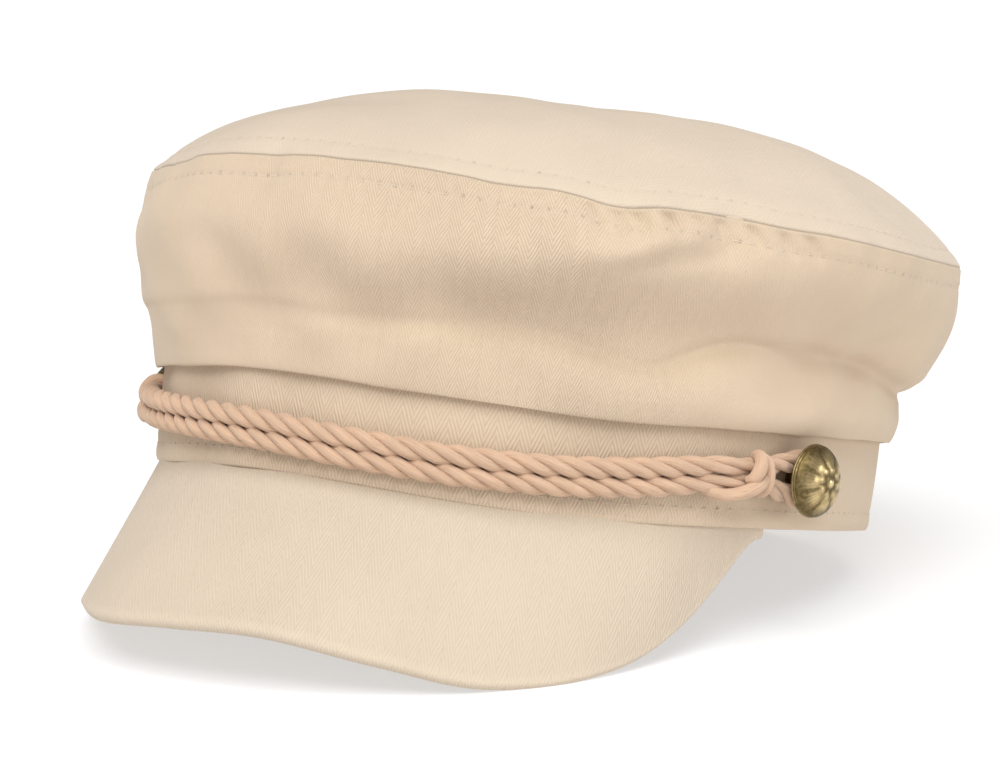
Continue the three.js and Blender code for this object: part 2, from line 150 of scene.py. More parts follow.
def tree_group(name, inputs, outputs):
    """An empty shader group with named sockets: pairs of a name and a default value."""
    group = bpy.data.node_groups.new(name, "ShaderNodeTree")
    for way, sockets in (("INPUT", inputs), ("OUTPUT", outputs)):
        for label, value in sockets:
            kind = {3: "NodeSocketVector", 4: "NodeSocketColor"}.get(np.size(value), "NodeSocketFloat")
            socket = group.interface.new_socket(label, in_out=way, socket_type=kind)
            if way == "INPUT":
                socket.default_value = value
    return group, group.nodes.new("NodeGroupInput"), group.nodes.new("NodeGroupOutput")


def node(tree, kind, **values):
    """A shader node with its settings, and its inputs' values or links, each by name or as i and a number."""
    made = tree.nodes.new("ShaderNode" + kind)
    for key, value in values.pop("settings", {}).items():
        setattr(made, key, value)
    for key, value in values.items():
        numbered = key[0] == "i" and key[1:].isdigit()
        socket = made.inputs[int(key[1:]) if numbered else key.replace("_", " ")]
        if isinstance(value, bpy.types.NodeSocket):
            tree.links.new(value, socket)
        else:
            socket.default_value = value
    return made


def maths(tree, operation, *values):
    inputs = {f"i{place}": value for place, value in enumerate(values)}
    return node(tree, "Math", settings={"operation": operation}, **inputs).outputs[0]


def noise(tree, place, scale, detail, roughness=0.5):
    return node(tree, "TexNoise", Vector=place, Scale=scale, Detail=detail, Roughness=roughness).outputs[0]


def remap(tree, value, start, end):
    """A value carried from one range to another, and held at its ends."""
    limits = {"From_Min": start[0], "From_Max": start[1], "To_Min": end[0], "To_Max": end[1]}
    return node(tree, "MapRange", Value=value, **limits).outputs[0]


def shaded(tree, colour, share):
    return node(tree, "VectorMath", settings={"operation": "SCALE"}, i0=colour, Scale=share).outputs[0]


def map_place(tree, label):
    return node(tree, "UVMap", settings={"uv_map": label}).outputs[0]


def herringbone_group():
    """Twill ridges that turn from column to column. It gives a ridge height and a shade, both from 0 to 1."""
    group, given, result = tree_group(
        "herringbone",
        [("Place", (0.0, 0.0, 0.0)), ("Column", 0.003), ("Ridge", 0.00205), ("Slope", 1.96), ("Waver", 0.0003)],
        [("Height", 0.0), ("Shade", 0.0)],
    )
    place, width = given.outputs["Place"], given.outputs["Column"]
    split = node(group, "SeparateXYZ", i0=place)
    wander = maths(group, "SUBTRACT", noise(group, place, 260.0, 1.0), 0.5)
    across = maths(group, "ADD", split.outputs[0], maths(group, "MULTIPLY", wander, given.outputs["Waver"]))
    column = maths(group, "PINGPONG", across, width)
    half = maths(group, "FLOOR", maths(group, "DIVIDE", across, width))
    stagger = maths(group, "MULTIPLY", maths(group, "MODULO", half, 2.0), 0.35)
    rise = maths(group, "ADD", maths(group, "MULTIPLY", column, given.outputs["Slope"]), split.outputs[1])
    count = maths(group, "ADD", maths(group, "DIVIDE", rise, given.outputs["Ridge"]), stagger)
    wave = maths(group, "COSINE", maths(group, "MULTIPLY", count, 2 * math.pi))
    ridge = maths(group, "MULTIPLY_ADD", wave, 0.5, 0.5)
    yarn = maths(group, "SUBTRACT", noise(group, place, 2600.0, 2.0), 0.5)
    slub = maths(group, "SUBTRACT", noise(group, place, 420.0, 3.0, 0.7), 0.5)
    height = maths(group, "ADD", ridge, maths(group, "MULTIPLY", yarn, 0.5))
    uneven = maths(group, "ADD", ridge, maths(group, "MULTIPLY", slub, 0.9))
    group.links.new(height, result.inputs["Height"])
    group.links.new(node(group, "Clamp", Value=uneven).outputs[0], result.inputs["Shade"])
    return group


def needle_holes_group():
    """A mask of small holes in a row along an edge, where the thread goes through: painted shade in each hole.
    """
    group, given, result = tree_group(
        "needle_holes",
        [("Place", (0.0, 0.0, 0.0)), ("Row", 0.0045), ("Pitch", 0.0034), ("Width", 0.00065)],
        [("Mask", 0.0)],
    )
    place, pitch = given.outputs["Place"], given.outputs["Pitch"]
    split = node(group, "SeparateXYZ", i0=place)
    along = maths(group, "DIVIDE", split.outputs[0], pitch)
    off = maths(group, "MULTIPLY", maths(group, "SUBTRACT", along, maths(group, "ROUND", along)), pitch)
    away = maths(group, "SUBTRACT", split.outputs[1], given.outputs["Row"])
    squares = [maths(group, "MULTIPLY", side, side) for side in (off, away)]
    reach = maths(group, "SQRT", maths(group, "ADD", *squares))
    near = maths(group, "SUBTRACT", 1.0, maths(group, "DIVIDE", reach, given.outputs["Width"]))
    pull = remap(group, noise(group, place, 110.0, 3.0, 0.7), (0.4, 0.62), (0.12, 1.0))
    hole = maths(group, "MULTIPLY", node(group, "Clamp", Value=near).outputs[0], pull)
    group.links.new(hole, result.inputs["Mask"])
    return group


HERRINGBONE, NEEDLE_HOLES = herringbone_group(), needle_holes_group()


def material(name, colour, roughness, **sockets):
    """A material whose shader holds the values that are alike all over the surface."""
    made = bpy.data.materials.new(name)
    made.use_nodes = True
    tree = made.node_tree
    shader = tree.nodes["Principled BSDF"]
    shader.inputs["Base Color"].default_value = (*colour, 1)
    shader.inputs["Roughness"].default_value = roughness
    for key, value in sockets.items():
        shader.inputs[key.replace("_", " ")].default_value = value
    return made, tree, shader


def bumps(tree, shader, height, strength, distance):
    bump = node(tree, "Bump", Strength=strength, Distance=distance, Height=height)
    tree.links.new(bump.outputs[0], shader.inputs["Normal"])


def cloth(
    name,
    light,
    dark,
    show,
    stitch_rows=(),
    slope=2.3,
    most=None,
    pitch=0.00093,
    column=0.003,
    edge_tone=(0.0016, 1.06),
):
    """Herringbone cotton: lighter ridges on darker grooves, soft patches, and painted shade in its stitch
    holes.

    The weave shows by a share, and most near one place along the strip where that is given: the place, how
    far it shows in full, how far until it fades, and the strip's length. The edge has its own width and tone:
    a tone above 1 is wear that lightens the edge, and one below 1 is painted shade where the cloth turns into
    a seam.
    """
    made, tree, shader = material(
        name, light, 0.95, Sheen_Weight=0.2, Sheen_Roughness=0.55, Specular_IOR_Level=0.18
    )
    shader.inputs["Sheen Tint"].default_value = (1, 0.95, 0.88, 1)
    weave, edge = map_place(tree, "weave"), map_place(tree, "edge")
    twill = node(tree, "Group", settings={"node_tree": HERRINGBONE}, Place=weave, Column=column, Slope=slope)
    twill.inputs["Ridge"].default_value = pitch * math.hypot(1, slope)
    shown = remap(tree, noise(tree, weave, 17.0, 2.0), (0.35, 0.65), (0.65 * show, 1.2 * show))
    if most:
        middle, near, far, round_head = most
        away = maths(tree, "SUBTRACT", node(tree, "SeparateXYZ", i0=weave).outputs[0], middle)
        away = maths(tree, "ABSOLUTE", maths(tree, "WRAP", away, round_head / 2, -round_head / 2))
        shown = maths(tree, "MULTIPLY", shown, remap(tree, away, (near, far), (1.0, 0.28)))
    twist = maths(tree, "MULTIPLY_ADD", maths(tree, "SUBTRACT", twill.outputs["Shade"], 0.5), shown, 0.5)
    tone = node(tree, "Mix", settings={"data_type": "RGBA"}, i0=twist, i6=(*dark, 1), i7=(*light, 1))
    patchy = remap(tree, noise(tree, weave, 28.0, 4.0, 0.6), (0.3, 0.7), (0.965, 1.03))
    from_edge = node(tree, "SeparateXYZ", i0=edge).outputs[1]
    # near the edge the colour is scaled by the edge's tone: above 1 as wear, below 1 as painted shade at a seam
    edge_wear_and_seam_shade = remap(tree, from_edge, (0.0, edge_tone[0]), (edge_tone[1], 1.0))
    colour = shaded(tree, tone.outputs[2], maths(tree, "MULTIPLY", patchy, edge_wear_and_seam_shade))
    height = maths(tree, "MULTIPLY", twill.outputs["Height"], shown)
    for row, apart, depth in stitch_rows:
        holes = node(tree, "Group", settings={"node_tree": NEEDLE_HOLES}, Place=edge, Row=row, Pitch=apart)
        mask = holes.outputs["Mask"]
        # each hole darkens the colour as painted shade, and sinks the bump
        colour = shaded(tree, colour, maths(tree, "SUBTRACT", 1.0, maths(tree, "MULTIPLY", mask, depth)))
        height = maths(tree, "SUBTRACT", height, maths(tree, "MULTIPLY", mask, 2.2 * depth))
    tree.links.new(colour, shader.inputs["Base Color"])
    bumps(tree, shader, height, 0.7, 0.00028)
    return made


def thread(name, colour):
    """Fine sewing cotton with two plies, a little smoother than the cloth."""
    made, tree, shader = material(name, colour, 0.85, Sheen_Weight=0.15, Specular_IOR_Level=0.2)
    ply = node(tree, "TexWave", Vector=map_place(tree, "weave"), Scale=500.0, Distortion=0.5)
    bumps(tree, shader, ply.outputs[1], 0.4, 0.0001)
    return made


CREAM, GROOVE = (0.655, 0.526, 0.39), (0.515, 0.39, 0.272)
THREAD = thread("sewing_thread", (0.6, 0.5, 0.385))
STITCH_WIDTH, STITCH_SINK, STITCH_SEED = 0.00036, 0.00017, 7
STITCH_SECTIONS, STITCH_SIDES = 9, 6


def stitches(name, path, out, count):
    """A row of stitches along a path of the cloth's points: each rises from a hole and dips into the next."""
    spread = np.random.default_rng(STITCH_SEED)
    gone = np.linspace(0, 1, len(path))
    share = np.linspace(0.07, 0.93, STITCH_SECTIONS)  # of the way from one hole to the next
    where = (np.arange(count)[:, None] + share + spread.normal(0, 0.012, (count, 1))) / count
    line, normal = (
        np.stack([np.interp(where, gone, grid[:, k]) for k in range(3)], -1) for grid in (path, out)
    )
    arch = np.sin(np.linspace(0, np.pi, STITCH_SECTIONS)) ** 0.5
    rise = STITCH_WIDTH * 0.55 * arch - STITCH_SINK - STITCH_WIDTH * 0.2
    line = line + normal * rise[None, :, None]
    side = unit(np.cross(normal, unit(np.gradient(line, axis=1))))
    line = line + side * spread.normal(0, 0.00008, (count, 1, 1))
    turn = 2 * np.pi * np.arange(STITCH_SIDES) / STITCH_SIDES
    radius = STITCH_WIDTH / 2 * (0.55 + 0.45 * np.sin(np.linspace(0.15, np.pi - 0.15, STITCH_SECTIONS)))
    ring = side[:, :, None] * np.cos(turn)[:, None] + normal[:, :, None] * np.sin(turn)[:, None]
    points = line[:, :, None] + ring * radius[None, :, None, None]
    base = (np.arange(count) * STITCH_SECTIONS * STITCH_SIDES)[:, None, None]
    faces = (base + grid_faces(STITCH_SECTIONS, STITCH_SIDES, closed_columns=True)[0]).reshape(-1, 4)
    place = points_of(lengths(line, 1)[..., None], turn * STITCH_WIDTH / 2).reshape(-1, 2)
    piece = smooth_piece(name, points, faces, {"weave": place[faces]}, THREAD)


BAND_STITCH_UP, BAND_STITCHES, BAND_TUCK, BAND_ROWS = 0.0045, 146, 0.0012, 26
BAND_BULGE, BAND_RIPPLE, BAND_SEED = 0.00025, 0.00012, 3
FOLD_STAND, FOLD_SQUARE = 0.0002, 0.45  # how far the cloth stands out below its stitches; a round fold has 1
STITCH_GROOVE, GROOVE_WIDE = 0.00022, 0.0007
NAPE_LAP, NAPE_LAP_DEPTH, NAPE_LAP_FADE = 0.0009, 0.00045, 0.006
angles = np.linspace(0, 2 * np.pi, AROUND, endpoint=False)
full_turn = np.linspace(0, 2 * np.pi, AROUND + 1)
band_round = lengths(from_band(full_turn, 0, 0), 0)
band_length = band_round[-1]


def band_section():
    """Out and up of the band's section: up the outside, over the top, down the inside and round the fold."""
    half = BAND_WALL / 2
    rise = np.linspace(half, BAND_HEIGHT + BAND_TUCK, BAND_ROWS)
    flare = BAND_FLARE * rise / BAND_HEIGHT
    bulge = BAND_BULGE * np.sin(np.pi * rise / BAND_HEIGHT) + np.where(rise < BAND_STITCH_UP, FOLD_STAND, 0)
    outer = np.stack([flare + bulge - STITCH_GROOVE * bell(rise - BAND_STITCH_UP, GROOVE_WIDE), rise], -1)
    inner = np.stack([flare - BAND_WALL, rise], -1)[::-1]
    fold = np.radians(np.linspace(180, 360, 13)[1:-1])
    across, down = np.abs(np.cos(fold)) ** FOLD_SQUARE, np.abs(np.sin(fold)) ** FOLD_SQUARE
    under = np.stack([np.sign(np.cos(fold)) * across - 1, 1 - down], -1) * half
    return np.concatenate([outer, inner, under])


section = band_section()
band_points = from_band(angles[None], section[:, None, 0], section[:, None, 1])
ripple = np.random.default_rng(BAND_SEED)
for count in range(5, 23):
    sway = np.sin(count * angles + ripple.uniform(0, 2 * np.pi)) * BAND_RIPPLE
    band_points += outward(angles)[None] * sway[None, :, None]
past_nape = turn_between(np.pi, angles) * HALF_WIDTH  # metres along the band from the join at the nape
overlap = np.exp(-np.maximum(past_nape, 0) / NAPE_LAP_FADE) * (past_nape > 0)
lap = NAPE_LAP_DEPTH * (overlap - 1.6 * bell(past_nape, NAPE_LAP))
band_points[:BAND_ROWS] += outward(angles)[None] * lap[None, :, None]
section_length = lengths(np.concatenate([section, section[:1]]), 0)[:, None]
band_maps = {
    "weave": points_of(band_round, section_length),
    "edge": points_of(band_round, section_length + BAND_WALL / 2),
}
band_cloth = cloth(
    "band_herringbone",
    CREAM,
    GROOVE,
    0.85,
    stitch_rows=[(BAND_STITCH_UP, band_length / BAND_STITCHES, 0.5)],
    slope=2.6,
    most=(0.03, 0.035, 0.11, band_length),
    pitch=0.00082,
    column=0.0027,
)
band = grid_piece("band_cloth", band_points, band_maps, band_cloth, closed_rows=True, closed_columns=True)
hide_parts("band")
row = int(np.argmin(np.abs(section[:BAND_ROWS, 1] - BAND_STITCH_UP)))
stitch_line = np.concatenate([band_points[row], band_points[row, :1]])
stitches("band_stitches", stitch_line, outward(full_turn), BAND_STITCHES)

# Crown side
# The wall of the crown, one strip of the same cotton sewn to the top of the band. It rolls out over the
# band, hangs in soft hollows and swells, and is gathered a little into the top seam.
CLOTH_WALL = 0.002
STAND, OVERHANG, GAP = 0.046, 0.017, 0.0003
PROFILE = {  # from the front to the back, as shares of OVERHANG and, where they say up, of STAND
    "roll": [0.2, 0.22, 0.28, 0.29, 0.29],
    "crease": [0.25, 0.25, 0.22, 0.3, 0.3],
    "pouch": [0.37, 0.39, 0.56, 0.74, 0.86],
    "belly": [0.68, 0.69, 0.86, 0.95, 1.18],
    "belly_up": [0.69, 0.69, 0.7, 0.71, 0.71],
    "seam": [0.44, 0.45, 0.84, 0.95, 1.24],
    "seam_up": [1.04, 1.03, 0.95, 0.99, 0.98],
}
ROLL_UP, CREASE_UP, POUCH_UP = 0.075, 0.27, 0.37
ROLL_HANG = 0.0011  # how far the roll hangs down over the band's top edge
CREASE_LIFTS = [(36, 15, 0.08), (72, 17, 0.13), (96, 12, 0.08), (56, 8, -0.09)]  # angle, half width, of STAND
CREASE_DRAW, CREASE_FROM, CREASE_TO = 0.0021, 12, 108  # how far the crease is drawn in, between two angles
CREASE_EASE, CREASE_EASE_TO = 0.0021, -110  # and how far it fills out on the other side
UNDER_AT, UNDER_WIDE, UNDER_OUT = 69, 24, 0.0026  # where the wall leans in below the seam: degrees and metres
SEAM_DIPS = [(47.5, 4.5, 0.0014), (70, 5, 0.0005), (31, 4, 0.0004), (-30, 7, 0.0006)]  # at, half width, metres
SEAM_SINK = 0.0003  # how far the seam is drawn in all round
SEAM_SINKS = [  # and how much more at an angle: the angle, half width and metres
    (51, 3.5, 0.0003), (63, 3, 0.0002), (76, 4, 0.0002), (33, 5, 0.0001), (-34, 6, 0.0002), (14, 6, 0.0001)
]
DENTS = [  # angle and half width in degrees, height and half height as shares of STAND, depth of OVERHANG
    (42, 18, 0.8, 0.13, -0.1),
    (55, 17, 0.42, 0.16, 0.23),
    (34, 14, 0.62, 0.16, -0.06),
    (80, 14, 0.53, 0.13, 0.05),
    (96, 9, 0.42, 0.14, 0.1),
    (12, 12, 0.36, 0.14, 0.05),
    (8, 20, 0.62, 0.16, -0.04),
    (-6, 16, 0.78, 0.12, -0.03),
    (-34, 14, 0.6, 0.2, 0.03),
    (-70, 16, 0.45, 0.16, 0.1),
    (152, 18, 0.5, 0.2, 0.12),
    (-140, 18, 0.48, 0.2, 0.12),
]
FOLDS = [  # from an angle and mm below the seam to another, half width and height in mm
    (44, 13.5, 58.5, 4.5, 2.8, 1.9),
    (50, 15.5, 64, 7.5, 2.6, -0.9),
    (46, 6.5, 51, 10, 1.6, -0.5),
    (-47, 3, -40, 7.5, 1.2, -0.45),
    (-50, 5.5, -44, 9.5, 1.4, 0.35),
    (92, 27, 99, 21, 1.5, -0.45),
    (96, 28, 103, 23, 1.4, 0.35),
    (-20, 20, -6, 24, 4, -0.4),
] + [  # and the puckers that hang from the seam
    (at, 0.8, at + 2.6, 5.4 + (at % 4) * 0.3, 1.3, -1.15 - (at % 3) * 0.2)
    for at in (43, 46.5, 49, 53, 57, 60, 64.5, 69, 73)
]
ARC = 1.83  # mm of the crown's side in a degree
GATHER_HIGH, GATHER_LONG = 0.00007, 0.014  # of the fine gathers below the seam
SWELL_HIGH = 0.00065  # of the longest of the side's uneven swells
SIDE_STITCHED = (0.0002, 0.00022)  # how far a row of stitches raises the cloth on the seam's side, and sinks it
SEAM_ROW, SIDE_STITCHES = 0.005, 168
CROWN_ROWS, SEAM_ROWS, LINING_SKIP = 84, 20, 4  # the lining has one row for every few of the face
CROWN_SEED = 11
SEAM_SHADE = (0.00035, 0.55)  # how wide the painted shade is where the cloth turns into the seam, and how dark it makes the cloth
NO_EDGE = 0.05  # the lining's distance from any edge, as far as its stitches and the painted shade at the seam go


def crown_face(angle, steps):
    """Out and up of the crown's outer face at each angle and each step from the foot to the seam."""
    out = {k: OVERHANG * around_head(v, angle) for k, v in PROFILE.items() if not k.endswith("up")}
    up = {k: STAND * around_head(PROFILE[k], angle) for k in ("belly_up", "seam_up")}
    level = np.ones_like(angle)
    turn = np.degrees(turn_between(0, angle))
    lift = STAND * sum(share * bell(turn - at, wide) for at, wide, share in CREASE_LIFTS)
    drawn = CREASE_DRAW * step_down(CREASE_FROM - turn, 7) * step_down(turn - CREASE_TO, 7)
    drawn = drawn - CREASE_EASE * step_down(turn - CREASE_FROM, 7) * step_down(CREASE_EASE_TO - turn, 9)
    for at, wide, dip in SEAM_DIPS:
        up["seam_up"] = up["seam_up"] - dip * bell(turn - at, wide)
    under = bell(turn - UNDER_AT, UNDER_WIDE)
    out["seam"], up["seam_up"] = out["seam"] + UNDER_OUT * under, up["seam_up"] + 0.35 * UNDER_OUT * under
    out["belly"], up["belly_up"] = out["belly"] - 0.4 * UNDER_OUT * under, up["belly_up"] + 0.04 * STAND * under
    profile = [
        (0.00025, GAP),
        (0.3 * out["roll"], -0.7 * ROLL_HANG),
        (0.68 * out["roll"], -ROLL_HANG),
        (out["roll"], ROLL_UP * STAND + GAP),
        (out["crease"] - 0.3 * drawn, 0.7 * (CREASE_UP * STAND + lift)),
        (out["crease"] - drawn, CREASE_UP * STAND + lift),
        (out["pouch"] - (1.05 + 0.45 * under) * drawn, POUCH_UP * STAND + 0.9 * lift),
        (out["belly"], up["belly_up"]),
        (out["seam"], up["seam_up"]),
    ]
    keys = np.stack([np.stack([x * level, y * level], -1) for x, y in profile])
    last = len(keys) - 1
    at = np.minimum(np.floor(steps * last).astype(int), last - 1)
    near = [keys[np.clip(at + k, 0, last)] for k in (-1, 0, 1, 2)]
    face = smooth_between(*near, (steps * last - at)[:, None, None])
    for place, wide, high, tall, depth in DENTS:
        sideways = turn_between(math.radians(place), angle) / math.radians(wide)
        upwards = (face[..., 1] / STAND - high) / tall
        face[..., 0] -= OVERHANG * depth * np.exp(-(sideways**2) - upwards**2)
    return face


def surface_normals(points):
    """Outward normals of a grid that goes up by rows and round the head by columns."""
    round_head = np.roll(points, -1, 1) - np.roll(points, 1, 1)
    normal = np.cross(round_head, np.gradient(points, axis=0))
    return normal / np.maximum(np.linalg.norm(normal, axis=-1, keepdims=True), 1e-12)


def stitched(past_row, raised, sunk):
    """How far cloth stands out by a row of stitches: raised on the seam's side, and sunk at the row itself."""
    return raised * step_down(past_row, 0.0004) - sunk * bell(past_row, 0.0006)


def closed_map(across, down):
    """A map for a grid that closes round the head: its last column repeats the first, a full turn on."""
    return points_of(across, np.concatenate([down, down[:, :1]], 1))


steps = np.linspace(0, 0.95, CROWN_ROWS, endpoint=False)  # and closer next to the seam
steps = np.concatenate([steps, 1 - 0.05 * np.linspace(1, 0, SEAM_ROWS) ** 1.6])
side_face = crown_face(angles, steps)
side_points = from_band(angles, BAND_FLARE + side_face[..., 0], BAND_HEIGHT + side_face[..., 1])
side_normals = surface_normals(side_points)
lining = (side_points - side_normals * CLOTH_WALL)[::-LINING_SKIP]
side_up = lengths(side_points, 0)
below_seam = side_up[-1] - side_up
seam_gather = bell(turn_between(math.radians(50), angles), math.radians(24)) + 0.35
round_turn = np.degrees(turn_between(0, angles))
seam_sink = SEAM_SINK + sum(deep * bell(round_turn - at, wide) for at, wide, deep in SEAM_SINKS)
waves = np.random.default_rng(CROWN_SEED)
relief = np.zeros_like(side_up)
for count in range(38, 74, 4):
    gathers = np.sin(count * angles + waves.uniform(0, 2 * np.pi) + 90 * below_seam)
    relief += GATHER_HIGH * seam_gather * gathers * bell(below_seam, GATHER_LONG)
for _ in range(60):
    round_waves, up_waves = waves.integers(3, 34), waves.uniform(-260, 260)
    fade = SWELL_HIGH / (1 + 0.16 * round_waves + 0.009 * abs(up_waves))
    wave = np.sin(round_waves * angles + up_waves * side_up + waves.uniform(0, 2 * np.pi))
    relief += fade * wave * waves.uniform(0.2, 1)
relief *= np.minimum(side_up / 0.012, 1)
relief += stitched(below_seam - SEAM_ROW, *SIDE_STITCHED) - seam_sink * bell(below_seam, 0.0003)
for start, start_below, end, end_below, wide, high in FOLDS:
    ends = np.array([[start * ARC, start_below], [end * ARC, end_below]]) / 1000
    here = points_of(round_turn * ARC / 1000, below_seam) - ends[0]
    along = ends[1] - ends[0]
    share = np.clip(here @ along / (along @ along), 0, 1)
    away = np.linalg.norm(here - share[..., None] * along, axis=-1)
    swell = bell(away, wide / 1000) * (0.45 + 0.55 * np.sin(np.pi * share))
    relief += high / 1000 * swell * np.minimum(below_seam / 0.0015, 1)
relief += np.where(side_up > 0.004, 1, 0.3) * lap
side_points = side_points + side_normals * relief[..., None]
side_normals = surface_normals(side_points)
side_lining = lining[:-6]  # it ends above the band
side_grid = np.concatenate([side_points, side_lining])
side_length = lengths(side_grid, 0)
crown_round = band_round * 1.13
no_edge = np.full((len(side_lining) + 1, AROUND), NO_EDGE)
side_maps = {
    "weave": closed_map(crown_round, np.concatenate([side_length, side_length[-1:] + CLOTH_WALL])),
    "edge": closed_map(crown_round, np.concatenate([below_seam, no_edge])),
}
side_cloth = cloth(
    "crown_side_herringbone",
    CREAM,
    GROOVE,
    0.75,
    stitch_rows=[(SEAM_ROW, crown_round[-1] / SIDE_STITCHES, 0.4)],
    most=(0.055, 0.02, 0.085, crown_round[-1]),
    pitch=0.00064,
    column=0.0025,
    edge_tone=SEAM_SHADE,
)
crown_side = grid_piece(
    "crown_side_cloth", side_grid, side_maps, side_cloth, closed_rows=True, closed_columns=True
)
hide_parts("crown_side")


def line_at(points, normals, away, row):
    """The line that runs at a distance from the seam, with its normals."""
    found = [
        [[np.interp(row, away[::-1, i], grid[::-1, i, k]) for k in range(3)] for i in range(AROUND)]
        for grid in (points, normals)
    ]
    return [np.array(line + line[:1]) for line in found]


stitches("crown_side_stitches", *line_at(side_points, side_normals, below_seam, SEAM_ROW), SIDE_STITCHES)

# Crown top
# The oval top panel, cut from the same cotton and sewn to the side along the top seam, with a second row of
# topstitching on its own side of the seam. Padding and the stiff seam keep it puffed up.
PUFF, PUFF_FLAT, PUFF_STEEP, PUFF_TO_BACK = 0.03, 3.1, 0.81, 0.005
TOP_CREAM_PAINTED_LIGHT, TOP_GROOVE_PAINTED_LIGHT = (0.625, 0.525, 0.417), (0.545, 0.441, 0.335)  # paler and greyer than the side's: painted light, where light falls on the top from above
TOP_DENTS = [  # angle and half width in degrees, way in from the seam, half length and depth in metres
    (104, 15, 0.018, 0.011, 0.0028),
    (70, 20, 0.016, 0.008, 0.0006),
    (-52, 12, 0.012, 0.008, 0.0009),
]
TOP_ROW, TOP_STITCHES, TOP_STITCHED, TOP_ROWS = 0.0048, 166, (0.0001, 0.00018), 84
TOP_WAVES, TOP_WAVE_HIGH = 46, 0.0032  # how many waves the cloth has, and their height for their length
NEXT_TO_SEAM = [0, 0.012, 0.02, 0.028, 0.036, 0.044, 0.053, 0.063, 0.074, 0.085]  # rows, by share of the way in
seam_ring = from_band(angles, BAND_FLARE + side_face[-1, :, 0], BAND_HEIGHT + side_face[-1, :, 1])
middle, level = (seam_ring.min(0) + seam_ring.max(0)) / 2, seam_ring[:, 2].mean()
share = np.cos(np.concatenate([NEXT_TO_SEAM, np.linspace(0.096, 1, TOP_ROWS)]) * np.pi / 2)[:, None]
top_points = middle + (seam_ring - middle) * share[..., None]
puffed = PUFF * (1 - np.minimum(share, 1) ** PUFF_FLAT) ** PUFF_STEEP
to_back = PUFF_TO_BACK * top_points[..., 1] / (HEAD_LENGTH / 2) * (1 - share**2)
top_points[..., 2] = level + (seam_ring[:, 2] - level) * share**2 + puffed + to_back + GAP
top_normals = surface_normals(top_points)
top_normals[-3:] = (0, 0, 1)
from_seam = lengths(top_points, 0)
relief = np.zeros_like(from_seam)
for _ in range(TOP_WAVES):
    way, long = waves.uniform(0, 2 * np.pi), waves.uniform(0.018, 0.09)
    across = (top_points[..., 0] * math.cos(way) + top_points[..., 1] * math.sin(way)) / long * 2 * np.pi
    relief += TOP_WAVE_HIGH * long * np.sin(across + waves.uniform(0, 2 * np.pi)) * waves.uniform(0.2, 1)
relief *= np.minimum(from_seam / 0.02, 1)
relief += stitched(from_seam - TOP_ROW, *TOP_STITCHED)
for at, wide, inwards, long, deep in TOP_DENTS:
    sideways = np.degrees(turn_between(math.radians(at), angles)) / wide
    relief -= deep * np.exp(-(sideways**2) - ((from_seam - inwards) / long) ** 2)
top_lining = top_points - top_normals * CLOTH_WALL
top_points = top_points + top_normals * relief[..., None]
sunk_seam = side_points[-1] + outward(angles) * 0.9 * seam_sink[:, None]
for line, reach in ((sunk_seam, 0.004), (side_points[-1], 0.0005)):  # first to beside the seam, then to it
    top_points += (line - top_points[0]) * bell(from_seam, reach)[..., None]
top_lining += (lining[0] - top_lining[0]) * bell(from_seam, 0.006)[..., None]
top_lining = top_lining[::-LINING_SKIP]
top_grid = np.concatenate([top_points, top_lining])
flat = unit((top_points[0] - middle)[:, :2]) * (from_seam[-1:] - from_seam)[..., None]
flat = np.concatenate([flat, flat[::-LINING_SKIP]])
no_edge = np.full((len(top_lining), AROUND), NO_EDGE)
top_maps = {
    "weave": np.concatenate([flat, flat[:, :1]], 1),
    "edge": closed_map(crown_round, np.concatenate([from_seam, no_edge])),
}
# the top panel's colours are paler than the side's cotton as painted light from above
top_cloth = cloth(
    "crown_top_herringbone",
    TOP_CREAM_PAINTED_LIGHT,
    TOP_GROOVE_PAINTED_LIGHT,
    0.22,
    stitch_rows=[(TOP_ROW, crown_round[-1] / TOP_STITCHES, 0.3)],
    edge_tone=SEAM_SHADE,
)
crown_top = grid_piece("crown_top_cloth", top_grid, top_maps, top_cloth, closed_columns=True)
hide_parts("crown_top")
top_line = line_at(top_points[::-1], top_normals[::-1], from_seam[::-1], TOP_ROW)
stitches("crown_top_stitches", *top_line, TOP_STITCHES)

# Peak
# A stiff crescent covered in the same cotton on both sides, with its edge turned in. It is sewn under the
# front of the band, and slopes down and out to stand on its two corners.
PEAK_REACH, PEAK_THICKNESS, PEAK_END = 0.045, 0.003, 0.0025
PEAK_TUCK, PEAK_INSET = 0.0018, 0.0002  # how far its sewn edge goes up, where it is steep, and in
PEAK_HALF_ANGLE = math.radians(81)
PEAK_WIDTH = [0, 0.76, 0.895, 0.935, 1.04, 1.01, 0.97, 0.98, 0.995, 0.8, 0]  # from the wearer's right to left
PEAK_SLOPE = [92, 70, 61, 56, 51.5, 51.5, 51, 55, 59, 63.5, 92]
PEAK_COLUMNS, PEAK_ROWS = 301, 48
PEAK_GRAIN = -0.3  # how far the cloth's columns lean from the fall line, to the wearer's left
